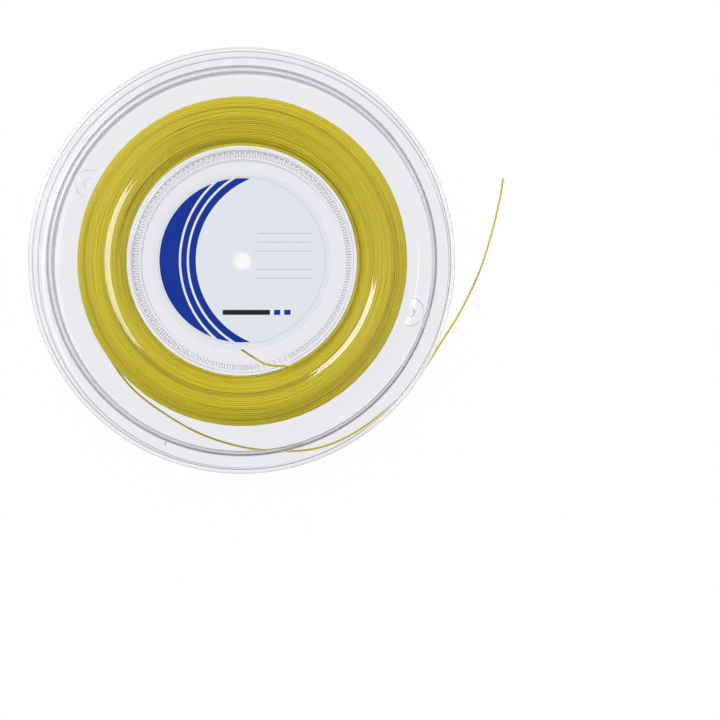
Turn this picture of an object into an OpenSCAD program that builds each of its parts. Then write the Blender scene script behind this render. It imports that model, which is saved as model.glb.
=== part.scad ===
// String reel: two clear moulded halves that plug together in the hub, a paper label
// on the front half, and one long string wound on the drum with both ends loose.
// +Z is the reel's axis. The rear half's rim stands on z = 0 and the label faces up.

/* [Reel] */
// Outer diameter of both flanges
flange_d = 270; // [262:1:285]
// Wall thickness of the moulded halves
wall = 1.8; // [1.5:0.1:2.1]
// Width of the string space between the flanges
string_space = 18.4; // [17:0.2:22]
// Diameter of the spindle bore
bore_d = 10.5; // [8:0.5:13]

/* [Flange profile] */
// Width of the raised ledge round the drum
ledge_w = 8; // [6:0.5:9]
// Radial width of the bend that drops from the ledge
shoulder_w = 8; // [6:0.5:10]
// Drop of that bend
shoulder_h = 0.8; // [0.4:0.1:1.2]
// Radial width of the slow rise towards the rim
rise_w = 10; // [8:0.5:12]
// Height of the front half's slow rise
rise_h = 0.8; // [0.4:0.1:0.8]
// Height of the rear half's slow rise
rear_rise_h = 0.4; // [0.3:0.1:0.8]
// Flat width between the slow rise and the step
land_w = 3.4; // [3:0.2:5]
// Radial width of the step
step_w = 3.8; // [3.4:0.2:4.4]
// Height of the front half's step
step_h = 2.2; // [1.4:0.2:2.4]
// Width of the flat band outside the step
band_w = 7.6; // [6:0.2:10]

/* [Rim] */
// Radial width of the rim
rim_w = 3.2; // [2.6:0.2:4]
// Depth of the rim along the axis
rim_h = 3; // [2.6:0.1:3.4]
// Height of the rim above the flat band
rim_proud = 0.8; // [0.4:0.1:1]
// Corner radius of the rim
rim_round = 0.8; // [0.4:0.1:1]

/* [Hub] */
// Diameter of the drum that the string is wound on
drum_d = 146; // [140:1:150]
// Wall thickness of the drum
drum_wall = 2; // [1.8:0.1:2.6]
// Radial clearance between the drum, the spigot and the toothed ring
spigot_clear = 0.1; // [0.05:0.05:0.2]
// Wall thickness of the front half's spigot
spigot_wall = 1.4; // [1.2:0.1:1.8]
// Radius of the snap bead on the spigot
snap_r = 0.5; // [0.3:0.1:0.6]

/* [Spline] */
// Number of spline teeth round the hub
tooth_count = 120; // [90:10:120]
// Radial depth of a tooth
tooth_h = 3.2; // [2.4:0.2:3.6]
// Width of a tooth
tooth_w = 1.7; // [1.4:0.1:1.8]
// Length of the teeth along the axis
tooth_len = 6; // [4:0.5:8]
// Clearance on each side of a tooth
tooth_clear = 0.1; // [0.05:0.05:0.15]
// Wall thickness of the rear half's toothed ring
ring_wall = 1.4; // [1.2:0.1:1.8]

/* [String slot] */
// Width of the slot that lets the string into the hub
slot_w = 2.6; // [2:0.2:3.2]
// Angle round the axis where the string leaves the slot
slot_angle = 295; // [289:1:301]
// Angle between the slot and the drum's surface
slot_lean = 25; // [22:1:32]

/* [Moulded marks] */
// Diameter of the round spot faced into the rise
spot_d = 17.6; // [14:0.2:17.6]
// Diameter of the island left in the spot
island_d = 6.8; // [5:0.2:9]
// Angle of the front half's spot
front_spot_angle = -17; // [-40:1:20]
// Angle of the rear half's spot
rear_spot_angle = 153; // [120:1:180]
// Angle of the small tick on the front half's band
tick_angle = 247.5; // [200:0.5:290]

/* [Label] */
// Diameter of the label
label_d = 113; // [90:1:124]
// Diameter of the hole in the label
label_hole_d = 13.6; // [13.2:0.2:18]
// Thickness of the label
label_t = 0.2; // [0.1:0.05:0.3]

/* [String] */
// Diameter of the string
string_d = 1.25; // [1.1:0.05:1.35]
// Diameter of the full winding
wound_d = 210; // [200:1:214]
// Whole loops that show: out across the front flank and down the outer layer
wound_loops = 22; // [12:1:22]
// Radius of the winding's front edge, to the middle of the string
wound_round = 2; // [1.5:0.1:3]

/* [Hidden] */

turned_fn = 180;
round_fn = 96;
bend_steps = 8;

// Radii, from the rim inwards and from the drum outwards
flange_r = flange_d / 2;
drum_r = drum_d / 2;
band_r = flange_r - rim_w;
step_r = band_r - band_w - step_w;
rise_r = step_r - land_w - rise_w;
shoulder_r = drum_r + ledge_w;

// Distances of the wall's middle from the reel's middle plane
valley_z = string_space / 2 + wall / 2;
ledge_z = valley_z + shoulder_h;
band_z = valley_z + rise_h + step_h;
half_depth = band_z + wall / 2 + rim_proud;
ledge_in_z = ledge_z - wall / 2;
ledge_out_z = ledge_z + wall / 2;

// Hub rings, from the drum's wall inwards
spigot_r = drum_r - drum_wall - spigot_clear;
tooth_root_r = spigot_r - spigot_wall;
tooth_tip_r = tooth_root_r - tooth_h;
ring_r = tooth_tip_r - spigot_clear;
ring_in_r = ring_r - ring_wall;
tooth_pitch = 360 / tooth_count;
tooth_sink = 0.4;
snap_z = -tooth_len / 4;
snap_place_r = spigot_r - snap_r / 2;

// String slot, cut to the string's own level, and the gap that it needs in the spigot
string_r = string_d / 2;
string_clear = 0.05;
flank_z = string_space / 2 - string_r - string_clear;
slot_dir = slot_angle + 90 - slot_lean;
slot_out_r = drum_r + string_r + 0.5;
slot_floor_z = flank_z - slot_w / 2;
slot_reach = 20;
gap_before = 16;
gap_after = 1;
gap_from = tooth_pitch * floor((slot_angle - gap_before) / tooth_pitch);
gap_to = tooth_pitch * ceil((slot_angle + gap_after) / tooth_pitch);

// Moulded marks
spot_margin = 0.2;
spot_place_r = step_r - spot_margin - spot_d / 2;
tick_w = 0.6;
tick_len = 2.2;
tick_h = 0.3;
tick_inset = 0.2;

// Winding: the section line that its loops climb along, and the plain core beneath
loop_rings = 24;
loop_sides = 6;
lead_angle = 206;
wound_r = wound_d / 2 - string_r;
flank_in_r = slot_out_r + string_d * sin(slot_lean) + 0.25;
flank_len = wound_r - wound_round - flank_in_r;
edge_len = wound_round * PI / 2;
layer_len = 2 * flank_z - wound_round;
section_len = flank_len + edge_len + layer_len;
wound_turns = wound_loops + (lead_angle - slot_angle + 360) / 360;
core_r = wound_r * cos(180 / loop_rings) - string_r - string_clear;
core_top_z = flank_z - string_r;
core_round = wound_round - string_r;

// Free end of the string: it leaves the winding along the tangent, lies in the rear
// flange, climbs over its rim and comes to rest on the ground, cut off plainly.
cord_sides = 8;
LEAD = [
    [-90.5, -52.3, 6.3], [-87, -58.7, 6.3], [-83.2, -65, 6.3], [-79.1, -71.2, 6.3],
    [-74.9, -76.5, 6.3], [-70.4, -81.5, 6.3], [-64.8, -86.5, 6.3], [-58.8, -91.2, 6.3],
    [-52.5, -95.6, 6.3], [-44.4, -100.9, 6.2], [-35.9, -105.9, 6.2], [-26.9, -110.2, 6.1],
    [-17.3, -113.8, 6], [-7.4, -116.8, 5.9], [3, -119.1, 5.9], [13.7, -120.5, 5.8],
    [22.5, -121, 5.3], [31.4, -121.1, 4.7], [40.5, -120.4, 4.3], [49.5, -118.7, 4],
    [58.2, -115.8, 3.9], [66.6, -112, 3.9], [76.6, -106.1, 3.9], [85.9, -99.3, 3.9],
    [94.8, -91.8, 3.9], [103.2, -83.6, 3.9], [111.1, -74.7, 3.9], [118.3, -65.2, 3.9],
    [126, -52.9, 3.8], [132.7, -42.4, 3.2], [137, -35.8, 2.6], [143, -24.6, 1.8],
    [148.3, -13.6, 1.2], [153.2, -1.9, 0.8], [157.2, 10.6, 0.7], [160.8, 23.3, 0.7],
    [163.8, 36, 0.7], [165.7, 45, 0.7], [167, 54.3, 0.7]
];
lead_steps = 2;

// Inner end of the string: from the slot across the hub, down onto the rear web
TAIL = [
    [19.6, -66.6, 23.3], [14.6, -65.4, 23.2], [9.9, -62.9, 22.6], [4, -59.2, 21],
    [-2.8, -54.8, 18.3], [-9, -50.7, 15.2], [-15, -46.6, 12.1], [-21, -42.6, 9.3],
    [-27, -38.6, 7.2], [-33, -34.4, 6], [-38.6, -30, 5.6], [-43.6, -25.4, 5.5]
];
tail_steps = 2;

// ---------- Outlines ----------

// S-bend of the wall's middle line on two equal arcs, as [x, y, heading], that starts
// level at [x, y] and ends level at [x + w, y + h]
function s_bend(x, y, w, h) =
    let (radius = (w * w + h * h) / (4 * abs(h)), angle = 2 * atan(abs(h) / w), up = sign(h))
        concat(
            [for (i = [0 : bend_steps])
                let (a = angle * i / bend_steps)
                    [x + radius * sin(a), y + up * radius * (1 - cos(a)), up * a]],
            [for (i = [bend_steps - 1 : -1 : 0])
                let (a = angle * i / bend_steps)
                    [x + w - radius * sin(a), y + h - up * radius * (1 - cos(a)), up * a]]
        );

// Points at one distance from a middle line
function beside(line, gap) = [for (p = line) [p[0] - gap * sin(p[2]), p[1] + gap * cos(p[2])]];

function reversed(list) = [for (i = [len(list) - 1 : -1 : 0]) list[i]];

// Rectangle with round corners, from its lower left corner
module rounded_block(w, h, radius) {
    translate([radius, 0])
        square([w - 2 * radius, h]);
    translate([0, radius])
        square([w, h - 2 * radius]);
    for (x = [radius, w - radius])
        for (y = [radius, h - radius])
            translate([x, y])
                circle(r = radius, $fn = round_fn);
}

// ---------- The two moulded halves ----------

// Middle line of a flange's wall, from the bore to the rim, by the height of its slow rise
function flange_line(rise) =
    concat(
        [[bore_d / 2, ledge_z, 0]],
        s_bend(shoulder_r, ledge_z, shoulder_w, -shoulder_h),
        s_bend(rise_r, valley_z, rise_w, rise),
        s_bend(step_r, valley_z + rise, step_w, band_z - valley_z - rise),
        [[band_r + rim_w / 2, band_z, 0]]
    );

// Section of a flange, above the reel's middle plane
module flange_section(rise) {
    line = flange_line(rise);
    polygon(concat(beside(line, -wall / 2), reversed(beside(line, wall / 2))));
    translate([band_r, half_depth - rim_h])
        rounded_block(rim_w, rim_h, rim_round);
}

// Flange with its moulded spot: a ring faced level with the valley, which leaves an
// island of the slow rise standing in its middle
module flange(spot_angle, rise) {
    cut_h = rise_h + step_h;
    difference() {
        rotate_extrude($fn = turned_fn)
            flange_section(rise);
        rotate([0, 0, spot_angle])
            translate([spot_place_r, 0, valley_z + wall / 2])
                difference() {
                    cylinder(d = spot_d, h = cut_h, $fn = round_fn);
                    translate([0, 0, -1])
                        cylinder(d = island_d, h = cut_h + 2, $fn = round_fn);
                }
    }
}

// Tube between two radii and two levels
module tube(outer_r, inner_r, z0, z1) {
    translate([0, 0, z0])
        difference() {
            cylinder(r = outer_r, h = z1 - z0, $fn = turned_fn);
            translate([0, 0, -1])
                cylinder(r = inner_r, h = z1 - z0 + 2, $fn = turned_fn);
        }
}

// Radial bars of one width, one on every tooth of the rear half
module tooth_bars(w) {
    for (i = [0 : tooth_count - 1])
        rotate(i * tooth_pitch)
            translate([ring_r - 2 * tooth_sink, -w / 2])
                square([tooth_h + spigot_wall, w]);
}

// Ring that makes the snap bead, or with more radius its groove
module snap_ring(radius) {
    rotate_extrude($fn = turned_fn)
        translate([snap_place_r, snap_z])
            circle(r = radius, $fn = round_fn);
}

// The drum's notch for the string, cut along the string's own line
module string_slot() {
    rotate([0, 0, slot_angle])
        translate([slot_out_r, 0, slot_floor_z])
            rotate([0, 0, 90 - slot_lean])
                translate([-slot_reach, -slot_w / 2, 0])
                    cube([slot_reach + slot_w, slot_w, ledge_in_z - slot_floor_z + 1]);
}

// Sector that leaves the spigot open, between two whole teeth, where the string passes
module spigot_gap() {
    translate([0, 0, -tooth_len])
        linear_extrude(ledge_in_z + tooth_len)
            polygon([[0, 0], drum_r * [cos(gap_from), sin(gap_from)],
                drum_r * [cos(gap_to), sin(gap_to)]]);
}

// Rear half, middle plane at z = 0: flange, drum and the ring with outward teeth
module rear_shell() {
    mirror([0, 0, 1])
        flange(rear_spot_angle, rear_rise_h);
    difference() {
        tube(drum_r, drum_r - drum_wall, -ledge_z, ledge_in_z);
        snap_ring(snap_r + spigot_clear);
        string_slot();
    }
    tube(ring_r, ring_in_r, -ledge_z, tooth_len / 2);
    translate([0, 0, -tooth_len / 2])
        linear_extrude(tooth_len)
            intersection() {
                difference() {
                    circle(r = tooth_root_r - spigot_clear, $fn = turned_fn);
                    circle(r = ring_r - tooth_sink, $fn = turned_fn);
                }
                tooth_bars(tooth_w);
            }
}

// Front half, middle plane at z = 0: flange and the spigot with inward teeth
module front_shell() {
    flange(front_spot_angle, rise_h);
    rotate([0, 0, tick_angle])
        translate([step_r + step_w + tick_inset, -tick_w / 2, band_z])
            cube([tick_len, tick_w, wall / 2 + tick_h]);
    difference() {
        union() {
            tube(spigot_r, tooth_root_r, -tooth_len / 2, ledge_z);
            snap_ring(snap_r);
            translate([0, 0, -tooth_len / 2])
                linear_extrude(tooth_len)
                    difference() {
                        circle(r = tooth_root_r + tooth_sink, $fn = turned_fn);
                        circle(r = tooth_tip_r, $fn = turned_fn);
                        tooth_bars(tooth_w + 2 * tooth_clear);
                    }
        }
        spigot_gap();
    }
}

module rear_half() {
    color("whitesmoke", 0.35)
        translate([0, 0, half_depth])
            rear_shell();
}

module front_half() {
    color("aliceblue", 0.35)
        translate([0, 0, half_depth])
            front_shell();
}

// ---------- Label ----------

module label() {
    color("lavender")
        translate([0, 0, half_depth])
            tube(label_d / 2, label_hole_d / 2, ledge_out_z, ledge_out_z + label_t);
}

// ---------- String ----------

function unit(v) = v / norm(v);

function polar(r, angle, z) = [r * cos(angle), r * sin(angle), z + half_depth];

// Direction of the route at point i
function heading(route, i) = unit(route[min(i + 1, len(route) - 1)] - route[max(i - 1, 0)]);

// Points of one ring of the tube, square to the route
function ring_points(centre, dir, radius, sides) =
    let (side = unit(cross(dir, [0, 0, 1])), up = cross(side, dir))
        [for (k = [0 : sides - 1])
            let (a = 360 * (k + 0.5) / sides)
                centre + radius * (cos(a) * side + sin(a) * up)];

// Unbroken tube along a route
module cord_tube(route, radius, sides) {
    rings = len(route);
    last = (rings - 1) * sides;
    skin = [for (i = [0 : rings - 2], k = [0 : sides - 1])
        let (a = i * sides + k, b = i * sides + (k + 1) % sides)
            each [[a, b, a + sides], [b, b + sides, a + sides]]];
    start_cap = [for (k = [1 : sides - 2]) [0, k + 1, k]];
    end_cap = [for (k = [1 : sides - 2]) [last, last + k, last + k + 1]];
    polyhedron(
        points = [for (i = [0 : rings - 1])
            each ring_points(route[i], heading(route, i), radius, sides)],
        faces = concat(skin, start_cap, end_cap)
    );
}

// Smooth curve through points chosen by hand
function between(a, b, c, d, t) =
    0.5 * (2 * b + (c - a) * t + (2 * a - 5 * b + 4 * c - d) * t * t
        + (3 * b - a - 3 * c + d) * t * t * t);
function smooth_route(p, steps) =
    let (last = len(p) - 1)
        [for (i = [0 : last - 1], s = [0 : steps - 1])
            between(p[max(i - 1, 0)], p[i], p[i + 1], p[min(i + 2, last)], s / steps),
            p[last]];

// The line that the string follows through the slot, measured from its outer mouth
function slot_point(along) =
    polar(slot_out_r, slot_angle, flank_z) + along * [cos(slot_dir), sin(slot_dir), 0];

// Place on the winding's section line, as [radius, level]: out across the front flank,
// round the edge and down the outer layer
function section_point(s) =
    let (edge = (s - flank_len) / wound_round * 180 / PI)
        s < flank_len ? [flank_in_r + s, flank_z]
        : edge < 90 ? [wound_r - wound_round * (1 - sin(edge)),
            flank_z - wound_round * (1 - cos(edge))]
        : [wound_r, flank_z - wound_round - (s - flank_len - edge_len)];

// The share of the winding, from 0 at the slot to 1 where the free end leaves it
function wound_point(share) =
    let (p = section_point(share * section_len))
        polar(p[0], slot_angle + 360 * wound_turns * share, p[1]);

wound_rings = round(wound_turns * loop_rings);
lead_exit = wound_point(1);
lead_start = lead_exit + string_d * [-sin(lead_angle), cos(lead_angle), 0];
WINDING = concat(
    [slot_point(0), slot_point(string_d)],
    [for (i = [1 : wound_rings]) wound_point(i / wound_rings)],
    [lead_start]
);

// Least gap between a stretch of the winding and any other, half a loop or more away
apart = loop_rings / 2;
winding_gap = min([for (i = [0 : len(WINDING) - 1 - apart], j = [i + apart : len(WINDING) - 1])
    norm(WINDING[i] - WINDING[j])]) - string_d;
echo(winding_gap = winding_gap);

module string_core() {
    h = core_top_z + string_space / 2;
    color([0.62, 0.56, 0.14])
        translate([0, 0, half_depth])
            rotate_extrude($fn = turned_fn)
                translate([drum_r, -string_space / 2]) {
                    square([core_r - drum_r - core_round, h]);
                    square([core_r - drum_r, h - core_round]);
                    translate([core_r - drum_r - core_round, h - core_round])
                        circle(r = core_round, $fn = round_fn);
                }
}

module string_winding() {
    color([0.74, 0.68, 0.2])
        cord_tube(WINDING, string_r, loop_sides);
}

module string_lead() {
    color([0.78, 0.74, 0.25])
        cord_tube(concat([lead_start], smooth_route(LEAD, lead_steps)), string_r, cord_sides);
}

module string_tail() {
    color([0.78, 0.74, 0.25])
        cord_tube(concat([slot_point(0), slot_point(-string_d)], smooth_route(TAIL, tail_steps)),
            string_r, cord_sides);
}

rear_half();
front_half();
label();
string_core();
string_winding();
string_lead();
string_tail();
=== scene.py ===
"""String reel: two clear moulded halves, a printed label and 200 m of yellow string.

Everything is in metres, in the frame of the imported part: +Z is the reel's axis, the rear
half's rim stands on z = 0 and the label faces up.
"""

from __future__ import annotations

import logging
import math
from collections.abc import Iterable, Sequence
from dataclasses import dataclass
from enum import Enum
from functools import reduce

import bmesh
import bpy
from mathutils import Matrix, Vector, noise


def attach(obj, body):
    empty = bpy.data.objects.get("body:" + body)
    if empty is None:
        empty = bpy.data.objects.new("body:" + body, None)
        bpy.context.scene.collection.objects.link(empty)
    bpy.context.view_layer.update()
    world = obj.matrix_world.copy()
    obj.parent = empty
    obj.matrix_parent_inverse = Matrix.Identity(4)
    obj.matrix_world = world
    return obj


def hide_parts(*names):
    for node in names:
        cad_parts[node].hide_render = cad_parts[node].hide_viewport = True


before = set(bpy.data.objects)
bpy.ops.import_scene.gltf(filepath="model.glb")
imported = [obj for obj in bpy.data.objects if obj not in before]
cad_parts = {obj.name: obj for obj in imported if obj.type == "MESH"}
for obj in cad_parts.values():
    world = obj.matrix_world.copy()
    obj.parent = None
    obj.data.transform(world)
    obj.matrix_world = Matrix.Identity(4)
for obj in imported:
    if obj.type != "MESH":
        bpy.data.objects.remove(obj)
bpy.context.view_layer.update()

log = logging.getLogger("string_reel")

MM = 0.001
WELD = 1e-7  # points nearer than this are one point
LEVEL_SLACK = 1e-6  # heights nearer than this are one level
WALL_SLACK = 0.02 * MM  # slack for telling which wall a point of the section lies on

Point = tuple[float, float, float]
Colour = tuple[float, float, float]
Span = tuple[float, float]


class Side(Enum):
    """The two halves of the reel, by the way their outside faces."""

    REAR = -1
    FRONT = 1


class Slot(Enum):
    """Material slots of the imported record."""

    PLASTIC = "clear_plastic"
    PAPER = "label_paper"
    STRING = "string"


# ---------- Sizes shared by the pieces ----------


@dataclass(frozen=True)
class ReelSizes:
    """Sizes of the moulded reel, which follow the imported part.

    Radii are from the reel's axis. Heights are from its middle plane, outwards. The bends and
    the rim are set a few tenths of a millimetre finer, for how light passes through them.
    """

    flange_r: float = 135 * MM
    wall: float = 1.8 * MM
    bore_r: float = 5.25 * MM
    ledge_h: float = 10.9 * MM
    valley_h: float = 10.1 * MM
    band_h: float = 13.1 * MM
    half_depth: float = 14.8 * MM
    shoulder_r: float = 81 * MM
    shoulder_w: float = 8 * MM
    rise_r: float = 108 * MM
    rise_w: float = 8.1 * MM
    step_r: float = 120.2 * MM
    step_w: float = 4.1 * MM
    step_split: float = 0.66
    band_r: float = 132.4 * MM
    rim_h: float = 3 * MM
    rim_round: float = 1.3 * MM
    rim_slope: float = 1.2 * MM
    rim_foot: float = 0.3 * MM
    rim_brow: float = 0.6 * MM
    drum_r: float = 73 * MM
    drum_wall: float = 2 * MM
    spigot_r: float = 70.9 * MM
    tooth_root_r: float = 69.5 * MM
    tooth_tip_r: float = 66.3 * MM
    ring_r: float = 66.2 * MM
    ring_wall: float = 1.4 * MM
    clearance: float = 0.1 * MM
    snap_r: float = 0.5 * MM
    snap_h: float = -1.5 * MM
    tooth_count: int = 120
    tooth_w: float = 1.7 * MM
    tooth_half_len: float = 3 * MM

    @property
    def tooth_pitch(self) -> float:
        """Angle from tooth to tooth, in degrees."""
        return 360 / self.tooth_count

    @property
    def tooth_middle_r(self) -> float:
        """Radius halfway up the ring's teeth."""
        return self.ring_r + (self.tooth_root_r - self.tooth_tip_r) / 2

    @property
    def ledge_in(self) -> float:
        """Height of the web's inner face."""
        return self.ledge_h - self.wall / 2

    @property
    def ledge_out(self) -> float:
        """Height of the web's outer face."""
        return self.ledge_h + self.wall / 2


@dataclass(frozen=True)
class StringSizes:
    """The string, and the winding that it fills the reel with."""

    diameter: float = 1.25 * MM
    inner_r: float = 73.7 * MM
    outer_r: float = 104.375 * MM
    flank_h: float = 8.525 * MM
    layers: int = 25
    whole_turns: int = 360
    slot_deg: float = 295
    slot_r: float = 74.125 * MM
    exit_deg: float = 206

    @property
    def turns(self) -> float:
        """All turns of the winding, from the slot to where the free end leaves it."""
        return self.whole_turns + ((self.exit_deg - self.slot_deg) % 360) / 360


REEL = ReelSizes()
STRING = StringSizes()


# ---------- Mesh helpers ----------


def polar(radius: float, degrees: float, z: float = 0.0) -> Vector:
    """Point at a radius, an angle and a height."""
    angle = math.radians(degrees)
    return Vector((radius * math.cos(angle), radius * math.sin(angle), z))


def tangent(degrees: float) -> Vector:
    """Level unit vector at an angle round the axis, pointing anticlockwise."""
    angle = math.radians(degrees)
    return Vector((-math.sin(angle), math.cos(angle), 0))


def add_object(name: str, data: bpy.types.ID) -> bpy.types.Object:
    """Puts an object with this data into the scene.

    Args:
        name: The object's name.
        data: Its mesh, curve, lamp or camera.

    Returns:
        The new object.
    """
    made = bpy.data.objects.new(name, data)
    bpy.context.scene.collection.objects.link(made)
    return made


def close_up(bm: bmesh.types.BMesh) -> None:
    """Merges a bmesh's doubles and points its faces outwards."""
    bmesh.ops.remove_doubles(bm, verts=bm.verts[:], dist=WELD)
    bmesh.ops.recalc_face_normals(bm, faces=bm.faces[:])


def make_piece(bm: bmesh.types.BMesh, name: str, smooth_deg: float = 35) -> bpy.types.Object:
    """Makes a clean, smooth-shaded object at the origin from a bmesh, which it frees.

    Args:
        bm: The shape, in its place.
        name: The piece's name.
        smooth_deg: Edges that bend more than this stay sharp.

    Returns:
        The new object.
    """
    close_up(bm)
    mesh = bpy.data.meshes.new(name)
    bm.to_mesh(mesh)
    bm.free()
    mesh.shade_smooth()
    mesh.set_sharp_from_angle(angle=math.radians(smooth_deg))
    return add_object(name, mesh)


def evaluated_mesh(piece: bpy.types.Object) -> bpy.types.Mesh:
    """Mesh of a piece with its modifiers, or its curve, worked out."""
    graph = bpy.context.evaluated_depsgraph_get()
    return bpy.data.meshes.new_from_object(piece.evaluated_get(graph), depsgraph=graph)


def round_off(bm: bmesh.types.BMesh, geom: list, radius: float, segments: int,
              affect: str = "EDGES") -> None:
    """Bevels a bmesh's edges or corners.

    Args:
        bm: The shape.
        geom: The edges or points.
        radius: Size of the bevel.
        segments: Steps across it.
        affect: EDGES or VERTICES.
    """
    bmesh.ops.bevel(bm, geom=geom, offset=radius, offset_type="OFFSET", segments=segments,
                    profile=0.5, affect=affect, clamp_overlap=True, material=-1)


def raise_faces(bm: bmesh.types.BMesh, height: float) -> list[bmesh.types.BMVert]:
    """Extrudes all of a bmesh's faces straight up.

    Args:
        bm: The flat shape.
        height: How far they rise.

    Returns:
        The raised points.
    """
    raised = bmesh.ops.extrude_face_region(bm, geom=bm.faces[:])["geom"]
    top = [v for v in raised if isinstance(v, bmesh.types.BMVert)]
    bmesh.ops.translate(bm, vec=(0, 0, height), verts=top)
    return top


def carve(piece: bpy.types.Object, tool: bpy.types.Object, operation: str) -> None:
    """Cuts a tool out of a piece, or joins it on, and removes the tool.

    Args:
        piece: The object that changes.
        tool: The cutter or the part to join, a closed mesh.
        operation: DIFFERENCE or UNION.
    """
    modifier = piece.modifiers.new("carve", "BOOLEAN")
    modifier.object = tool
    modifier.operation = operation
    modifier.solver = "EXACT"
    carved = evaluated_mesh(piece)
    piece.modifiers.remove(modifier)
    piece.data = carved
    carved.name = piece.name
    bpy.data.objects.remove(tool)


def even_out(piece: bpy.types.Object, floor_z: float, smooth_deg: float = 26,
             weight: int = 50) -> None:
    """Keeps flat faces flat in the shading where they run into fillets and bends.

    Args:
        piece: The finished half.
        floor_z: Height of the floor of its round spot, whose outline stays sharp.
        smooth_deg: Edges that bend more than this stay sharp.
        weight: How strongly the larger faces rule, where 50 goes by area alone.
    """
    piece.data.set_sharp_from_angle(angle=math.radians(smooth_deg))
    bm = bmesh.new()
    bm.from_mesh(piece.data)
    for edge in bm.edges:
        on_floor = [all(abs(v.co.z - floor_z) < LEVEL_SLACK for v in face.verts)
                    for face in edge.link_faces]
        edge.smooth = edge.smooth and len(set(on_floor)) == 1
    bm.to_mesh(piece.data)
    bm.free()
    modifier = piece.modifiers.new("even shading", "WEIGHTED_NORMAL")
    modifier.mode = "FACE_AREA"
    modifier.weight = weight
    modifier.keep_sharp = True


def box_tool(low: Point, high: Point, place: Matrix, taper: float = 1.0) -> bpy.types.Object:
    """Makes a closed box between two corners, to carve with.

    Args:
        low: Its lowest corner.
        high: Its highest corner.
        place: Where the box is moved to.
        taper: Its top's width as a share of its foot's.

    Returns:
        The tool.
    """
    bm = bmesh.new()
    bmesh.ops.create_cube(bm, size=1.0)
    bmesh.ops.scale(bm, vec=(1, taper, 1), verts=[v for v in bm.verts if v.co.z > 0])
    span = Vector(high) - Vector(low)
    middle = (Vector(high) + Vector(low)) / 2
    bmesh.ops.transform(bm, matrix=place @ Matrix.Translation(middle)
                        @ Matrix.Diagonal((*span, 1)), verts=bm.verts[:])
    return make_piece(bm, "tool")


def sector_tool(radii: tuple[float, float], heights: tuple[float, float],
                degrees: tuple[float, float], steps: int = 12) -> bpy.types.Object:
    """Makes a closed sector of a ring, to carve with.

    Args:
        radii: Its inner and outer radius.
        heights: Its lower and upper height.
        degrees: Its first and last angle.
        steps: Steps along each arc.

    Returns:
        The tool.
    """
    bm = bmesh.new()
    share = [i / steps for i in range(steps + 1)]
    outline = [polar(radii[0], degrees[0] + (degrees[1] - degrees[0]) * t, heights[0])
               for t in share]
    outline += [polar(radii[1], degrees[1] + (degrees[0] - degrees[1]) * t, heights[0])
                for t in share]
    bm.faces.new([bm.verts.new(p) for p in outline])
    raise_faces(bm, heights[1] - heights[0])
    return make_piece(bm, "tool")


def turn_section(bm: bmesh.types.BMesh, start_deg: float, steps: int) -> None:
    """Spins the bmesh's wire section once round the reel's axis into a closed skin.

    Args:
        bm: The section, in the plane of X and Z.
        start_deg: Angle of its first column of points.
        steps: Columns in the full turn.
    """
    turn = Matrix.Rotation(math.radians(start_deg), 4, "Z")
    bmesh.ops.transform(bm, matrix=turn, verts=bm.verts[:])
    bmesh.ops.spin(bm, geom=bm.verts[:] + bm.edges[:], cent=(0, 0, 0), axis=(0, 0, 1),
                   angle=2 * math.pi, steps=steps, use_merge=True, use_duplicate=False)


# ---------- Node helpers ----------


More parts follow.
